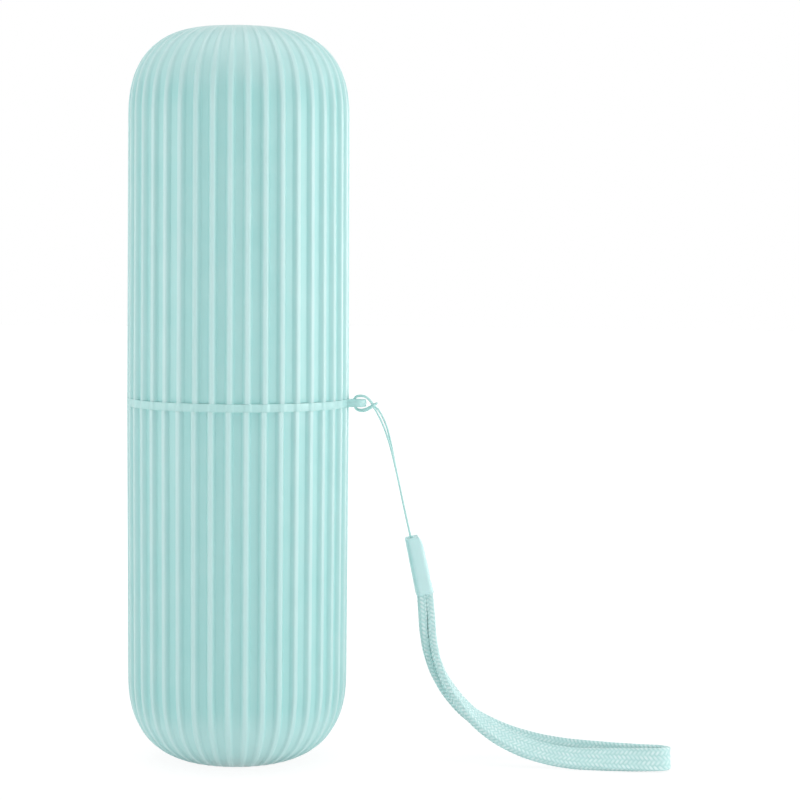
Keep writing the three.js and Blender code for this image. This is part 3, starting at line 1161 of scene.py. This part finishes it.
@dataclass(frozen=True)
class Webbing:
    """The flat braid of the wrist loop, with every yarn's crossing raised."""

    width: float = 6.4 * MM
    # Over the crowns of the yarns
    thickness: float = 2.25 * MM
    edge_round: float = 0.55 * MM
    # Yarns of one family round the braid, and the length in which one passes its neighbour's place
    yarns_around: int = 12
    cell_length: float = 1.2 * MM
    relief: float = 0.2 * MM
    around_per_yarn: int = 6
    rings_per_cell: int = 6
    # How high a yarn stands at the ends of its float, and how much higher a tight and a slack one
    # rise in the middle, as shares of the relief
    float_end_height: float = 0.45
    tight_rise: float = 0.3
    slack_rise: float = 0.25
    # Steps of a sine from yarn to yarn and from float to float, which make them uneven
    uneven_steps: tuple[float, float] = (7.3, 11.9)

    def section(self, share: float) -> tuple[Vector, Vector]:
        """Reads the section, a rounded rectangle: thickness along x and width along y.

        Args:
            share: Share of the way round.

        Returns:
            The point and its outward normal.
        """
        corner = self.edge_round
        flat, edge = self.width - 2 * corner, self.thickness - 2 * corner
        arc = math.pi / 2 * corner
        half_lap = flat + edge + 2 * arc
        place = (share % 1.0) * 2 * half_lap
        side = 1.0
        if place >= half_lap:
            place, side = place - half_lap, -1.0
        if place < flat:
            core, angle = Vector((edge / 2, place - flat / 2)), 0.0
        elif place < flat + arc:
            core, angle = Vector((edge / 2, flat / 2)), (place - flat) / corner
        elif place < flat + arc + edge:
            core, angle = Vector((edge / 2 - (place - flat - arc), flat / 2)), math.pi / 2
        else:
            core, angle = Vector((-edge / 2, flat / 2)), (place - flat - edge) / corner
        normal = Vector((math.cos(angle), math.sin(angle)))
        return (core + normal * corner) * side, normal * side

    def crossing_height(self, first: float, second: float) -> float:
        """Gives the height of the braid, in which each yarn passes over two and under two.

        Args:
            first: Count across the one family, whose yarns run along the other count.
            second: Count across the other family.

        Returns:
            From 0 in a gap to 1 on the crown of the upper yarn.
        """
        first_cell, second_cell = math.floor(first), math.floor(second)
        if (first_cell + second_cell) % 4 < 2:
            yarn, float_end = first_cell, (first_cell + second_cell) // 4
            across, along = first - first_cell, (first_cell + second) % 4 / 2
        else:
            yarn, float_end = second_cell, (first_cell + second_cell) // 4
            across, along = second - second_cell, ((first + second_cell) % 4 - 2) / 2
        round_top = math.sqrt(max(0.0, 1 - (2 * across - 1) ** 2))
        yarn_step, float_step = self.uneven_steps
        slack = 0.5 + 0.5 * math.sin(yarn_step * yarn + float_step * float_end)
        rise = self.tight_rise + self.slack_rise * slack
        swell = math.sin(math.pi * min(max(along, 0.0), 1.0))
        return round_top * (self.float_end_height + rise * swell)

    def build(self, finish: bpy.types.Material) -> tuple[bpy.types.Object, Route, list[Vector]]:
        """Makes the braid along its route and dresses it.

        Args:
            finish: The braided webbing's material.

        Returns:
            The webbing, its route and the middles of its rings.
        """
        route = Route(WEBBING_ROUTE)
        cells_along = round(route.length / self.cell_length)
        rings = cells_along * self.rings_per_cell
        middles, frames = [], []
        for k in range(rings + 1):
            distance = route.length * k / rings
            row = route.at(distance)
            tangent, turn = route.tangent(distance), math.radians(row[3])
            across = Vector((0.0, math.cos(turn), math.sin(turn)))
            across = (across - tangent * across.dot(tangent)).normalized()
            middles.append(row.to_3d())
            frames.append((across.cross(tangent), across))

        def place(around: float, along: float) -> tuple[Vector, float]:
            """Puts a point of the grid on the braid.

            Args:
                around: Share of the way round.
                along: Share of the length.

            Returns:
                The point, and how high the yarn stands there.
            """
            k = round(along * rings)
            lap, way = around * self.yarns_around, along * cells_along
            crown = self.crossing_height(lap + way, lap - way + cells_along)
            point, normal = self.section(around)
            point -= normal * self.relief * (1 - crown)
            return middles[k] + frames[k][0] * point.x + frames[k][1] * point.y, crown

        bm = wrap_tube(self.yarns_around * self.around_per_yarn, rings, place)
        webbing = finish_piece(bm, "wrist_braid", finish, CORD_CREASE)
        return dress(webbing, "strap", "webbing", "wrist_webbing"), route, middles


@dataclass(frozen=True)
class Sleeve:
    """The moulded sleeve that holds the string's ends above and the webbing's ends below."""

    top: tuple[float, float, float] = (0.04884, -0.003, 0.0627)
    tilt: float = math.radians(12.15)
    length: float = 16.2 * MM
    # Thickness and width
    top_size: tuple[float, float] = (4.6 * MM, 7.5 * MM)
    foot_size: tuple[float, float] = (4.95 * MM, 7.9 * MM)
    edge_round: float = 0.35 * MM
    outline_power: float = 5.0
    segments: int = 96
    webbing_socket: tuple[float, float] = (4.3 * MM, 6.8 * MM)
    webbing_socket_depth: float = 4.0 * MM
    string_socket: tuple[float, float] = (1.1 * MM, 1.95 * MM)
    string_socket_depth: float = 2.0 * MM
    # The string goes in beside the middle of the sleeve's top
    string_socket_offset: float = -0.65 * MM
    socket_round: float = 0.25 * MM
    round_steps: int = 4
    # Where the outer wall has its rings, from the foot up, as shares of the length below the top
    wall_shares: tuple[float, ...] = (0.9, 0.6, 0.3, 0.16, 0.12, 0.07)
    # The outer corner of the top is cut off this wide and this far down
    corner_cut: tuple[float, float] = (0.95 * MM, 2.1 * MM)

    def size_at(self, height: float) -> tuple[float, float]:
        """Gives the sleeve's outer size at a height.

        Args:
            height: Zero at the sleeve's top, and less below.

        Returns:
            Thickness and width.
        """
        share = -height / self.length
        thickness, width = (a + (b - a) * share for a, b in zip(self.top_size, self.foot_size))
        return thickness, width

    def rim(
        self, end: float, way: int, round_radius: float, socket: tuple[float, float] | None = None,
    ) -> list[tuple[float, float, float]]:
        """Rounds the rim of an end, on the outside or round its socket.

        Args:
            end: Height of the end.
            way: 1 where the sleeve lies above the end, and -1 where it lies below.
            round_radius: Radius of the rounding.
            socket: The socket's thickness and width, or nothing for the outside.

        Returns:
            Thickness, width and height of each ring, from the wall to the end.
        """
        rings = []
        for k in range(self.round_steps + 1):
            angle = math.pi / 2 * k / self.round_steps
            height = end + way * round_radius * (1 - math.sin(angle))
            step = 2 * round_radius * (1 - math.cos(angle))
            thickness, width = socket or self.size_at(height)
            grow = step if socket else -step
            rings.append((thickness + grow, width + grow, height))
        return rings

    def build(self, finish: bpy.types.Material) -> bpy.types.Object:
        """Makes the sleeve in its place and dresses it.

        Args:
            finish: The soft moulded plastic.

        Returns:
            The sleeve.
        """
        foot = -self.length
        walls = [(*self.size_at(foot * share), foot * share) for share in self.wall_shares]
        lower_socket = [
            (*self.webbing_socket, foot + self.webbing_socket_depth),
            *self.rim(foot, 1, self.socket_round, self.webbing_socket),
        ]
        outside = [
            *self.rim(foot, 1, self.edge_round)[::-1], *walls, *self.rim(0.0, -1, self.edge_round),
        ]
        upper_socket = [
            *self.rim(0.0, -1, self.socket_round, self.string_socket)[::-1],
            (*self.string_socket, -self.string_socket_depth),
        ]
        rings = lower_socket + outside + upper_socket
        first_upper = len(lower_socket) + len(outside)
        steps = len(rings) - 1
        matrix = Matrix.Translation(self.top) @ Matrix.Rotation(-self.tilt, 4, "Y")
        power = 2 / self.outline_power
        cut_width, cut_height = self.corner_cut

        def place(around: float, along: float) -> tuple[Vector, float]:
            """Puts a point of the grid on the sleeve.

            Args:
                around: Share of the way round.
                along: Share of the rings, from inside below to inside above.

            Returns:
                The point, and 1, because no yarn stands here.
            """
            k = round(along * steps)
            thickness, width, height = rings[k]
            angle = math.tau * around
            x, y = math.cos(angle), math.sin(angle)
            x = thickness / 2 * math.copysign(abs(x) ** power, x)
            y = width / 2 * math.copysign(abs(y) ** power, y)
            if k >= first_upper:
                x += self.string_socket_offset
            else:
                cut = cut_width * max(0.0, 1 + height / cut_height)
                x = min(x, self.size_at(height)[0] / 2 - cut)
            return matrix @ Vector((x, y, height)), 1.0

        bm = wrap_tube(self.segments, steps, place)
        sleeve = finish_piece(bm, "moulded_sleeve", finish)
        return dress(sleeve, "strap", "sleeve", "strap_sleeve")


class WristStrap:
    """The string, the sleeve and the webbing of the wrist strap."""

    def __init__(self) -> None:
        """Sets the three pieces and their finishes."""
        self.string = StrapString()
        self.sleeve = Sleeve()
        self.webbing = Webbing()
        # The string's colours: painted shade between the plies, the yarn's own, and a painted
        # highlight on top
        self.string_finish = Yarn("string_twisted_polyester", "#93cfca", "#c2e8e5", "#dff4f3")
        self.sleeve_finish = MouldedPlastic(
            "sleeve_soft_vinyl", "#c3e7e7", "#c3e7e7", roughness=0.42, light_share=0.3,
        )
        # The webbing's colours: painted shade between the yarns, the yarn's own, and a painted
        # highlight on top
        self.webbing_finish = Yarn("webbing_braided_polyester", "#add9d7", "#cfedec", "#f2fbfb")

    def build(self) -> None:
        """Makes the strap: the cords first, then the sleeve."""
        string, string_route, string_path = self.string.build(self.string_finish.make())
        webbing, webbing_route, webbing_path = self.webbing.build(self.webbing_finish.make())
        sleeve = self.sleeve.build(self.sleeve_finish.make())


@dataclass(frozen=True)
class Softbox:
    """One tall rectangular studio lamp, aimed at the middle of the case."""

    name: str
    # Degrees round the case from the camera's side, to the right
    azimuth: float
    width: float
    watts: float
    distance: float = 1.0
    height: float = 0.4
    centre_height: float = 0.075
    aim_height: float = 0.08

    def build(self) -> None:
        """Hangs the lamp."""
        lamp = bpy.data.lights.new(self.name, "AREA")
        lamp.shape = "RECTANGLE"
        lamp.size, lamp.size_y = self.width, self.height
        lamp.energy = self.watts
        holder = bpy.data.objects.new(self.name, lamp)
        angle = math.radians(self.azimuth)
        place = Vector((
            self.distance * math.sin(angle), -self.distance * math.cos(angle), self.centre_height,
        ))
        holder.location = place
        way = Vector((0, 0, self.aim_height)) - place
        holder.rotation_euler = way.to_track_quat("-Z", "Y").to_euler()
        holder.visible_camera = False
        bpy.context.scene.collection.objects.link(holder)


@dataclass(frozen=True)
class Studio:
    """The camera where the photograph was taken from, the lamps, the floor and the white surround."""

    camera_distance: float = 650 * MM
    camera_height: float = 140.8 * MM
    # The camera looks a little to the right of the case and down on it
    camera_yaw: float = math.radians(3.97)
    camera_pitch: float = math.radians(3.51)
    camera_roll: float = math.radians(0.42)
    focal_pixels: float = 2332.4
    picture_pixels: int = 800
    clip_start: float = 10 * MM
    floor_radius: float = 4.0
    floor_segments: int = 96
    ambient: float = 0.39
    softboxes: tuple[Softbox, ...] = (
        Softbox("strip_right", 70, 0.42, 3.5),
        Softbox("softbox_right", 42, 0.3, 0.95),
        Softbox("rim_right", 96, 0.4, 1.9),
        Softbox("back_right", 145, 0.3, 1.5),
        Softbox("strip_left", -72, 0.36, 2.2),
        Softbox("rim_left", -98, 0.3, 1.1),
        Softbox("softbox_left", -29, 0.5, 0.88),
        Softbox("strip_front", 4, 0.24, 1.05),
    )
    # A square lamp straight overhead
    top_height: float = 2.0
    top_width: float = 2.2
    top_watts: float = 21.0

    def place_camera(self) -> None:
        """Sets up the camera at the photograph's viewing angle."""
        data = bpy.data.cameras.new("camera")
        data.lens = data.sensor_width * self.focal_pixels / self.picture_pixels
        data.clip_start = self.clip_start
        camera = bpy.data.objects.new("camera", data)
        turn = (
            Matrix.Rotation(-self.camera_yaw, 4, "Z")
            @ Matrix.Rotation(math.pi / 2 - self.camera_pitch, 4, "X")
            @ Matrix.Rotation(self.camera_roll, 4, "Z")
        )
        place = Matrix.Translation((0, -self.camera_distance, self.camera_height))
        camera.matrix_world = place @ turn
        bpy.context.scene.collection.objects.link(camera)
        bpy.context.scene.camera = camera

    def light(self) -> None:
        """Hangs the lamps and fills the surround."""
        for softbox in self.softboxes:
            softbox.build()
        overhead = bpy.data.lights.new("overhead", "AREA")
        overhead.size, overhead.energy = self.top_width, self.top_watts
        holder = bpy.data.objects.new("overhead", overhead)
        holder.location = (0, 0, self.top_height)
        holder.visible_camera = False
        bpy.context.scene.collection.objects.link(holder)
        world = bpy.data.worlds.new("studio_surround")
        bpy.context.scene.world = world
        world.use_nodes = True
        tree = world.node_tree
        tree.nodes.clear()
        plain = (1.0, 1.0, 1.0, 1.0)
        fill = add_node(tree, "ShaderNodeBackground", {"Color": plain, "Strength": self.ambient})
        white = add_node(tree, "ShaderNodeBackground", {"Color": plain, "Strength": 1.0})
        mixed = add_node(
            tree, "ShaderNodeMixShader",
            links={0: shown_to_camera(tree), 1: fill.outputs[0], 2: white.outputs[0]},
        )
        add_node(tree, "ShaderNodeOutputWorld", links={"Surface": mixed.outputs[0]})
        bpy.context.scene.view_settings.view_transform = "Standard"

    def lay_floor(self) -> None:
        """Lays the plain pale floor."""
        bm = bmesh.new()
        bmesh.ops.create_circle(
            bm, cap_ends=True, segments=self.floor_segments, radius=self.floor_radius,
        )
        floor = finish_piece(bm, "floor", PaperFloor().make())


def main() -> None:
    """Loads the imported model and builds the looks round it."""
    logging.basicConfig(level=logging.INFO, format="%(name)s: %(message)s")
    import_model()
    studio = Studio()
    studio.place_camera()
    WristStrap().build()
    # Each plastic's first colour is the crests', paler as a painted highlight, and its second the
    # flutes', darker as painted shade
    shell_finish = MouldedPlastic("shell_satin_polypropylene", "#bce0df", "#a7dad8").make()
    ring_finish = MouldedPlastic("ring_satin_polypropylene", "#b1dcda", "#a7dad8").make()
    cup_turn = math.radians(0.6)
    cup = FlutedShell(Half.CUP, length=99.0 * MM, mouth_height=99.0 * MM, rib_turn=cup_turn)
    cup.build(shell_finish)
    cover = FlutedShell(Half.COVER, length=101.6 * MM, mouth_height=101.6 * MM)
    cover.build(shell_finish)
    JoiningRing().build(ring_finish)
    studio.light()
    studio.lay_floor()


if __name__ == "__main__":
    main()
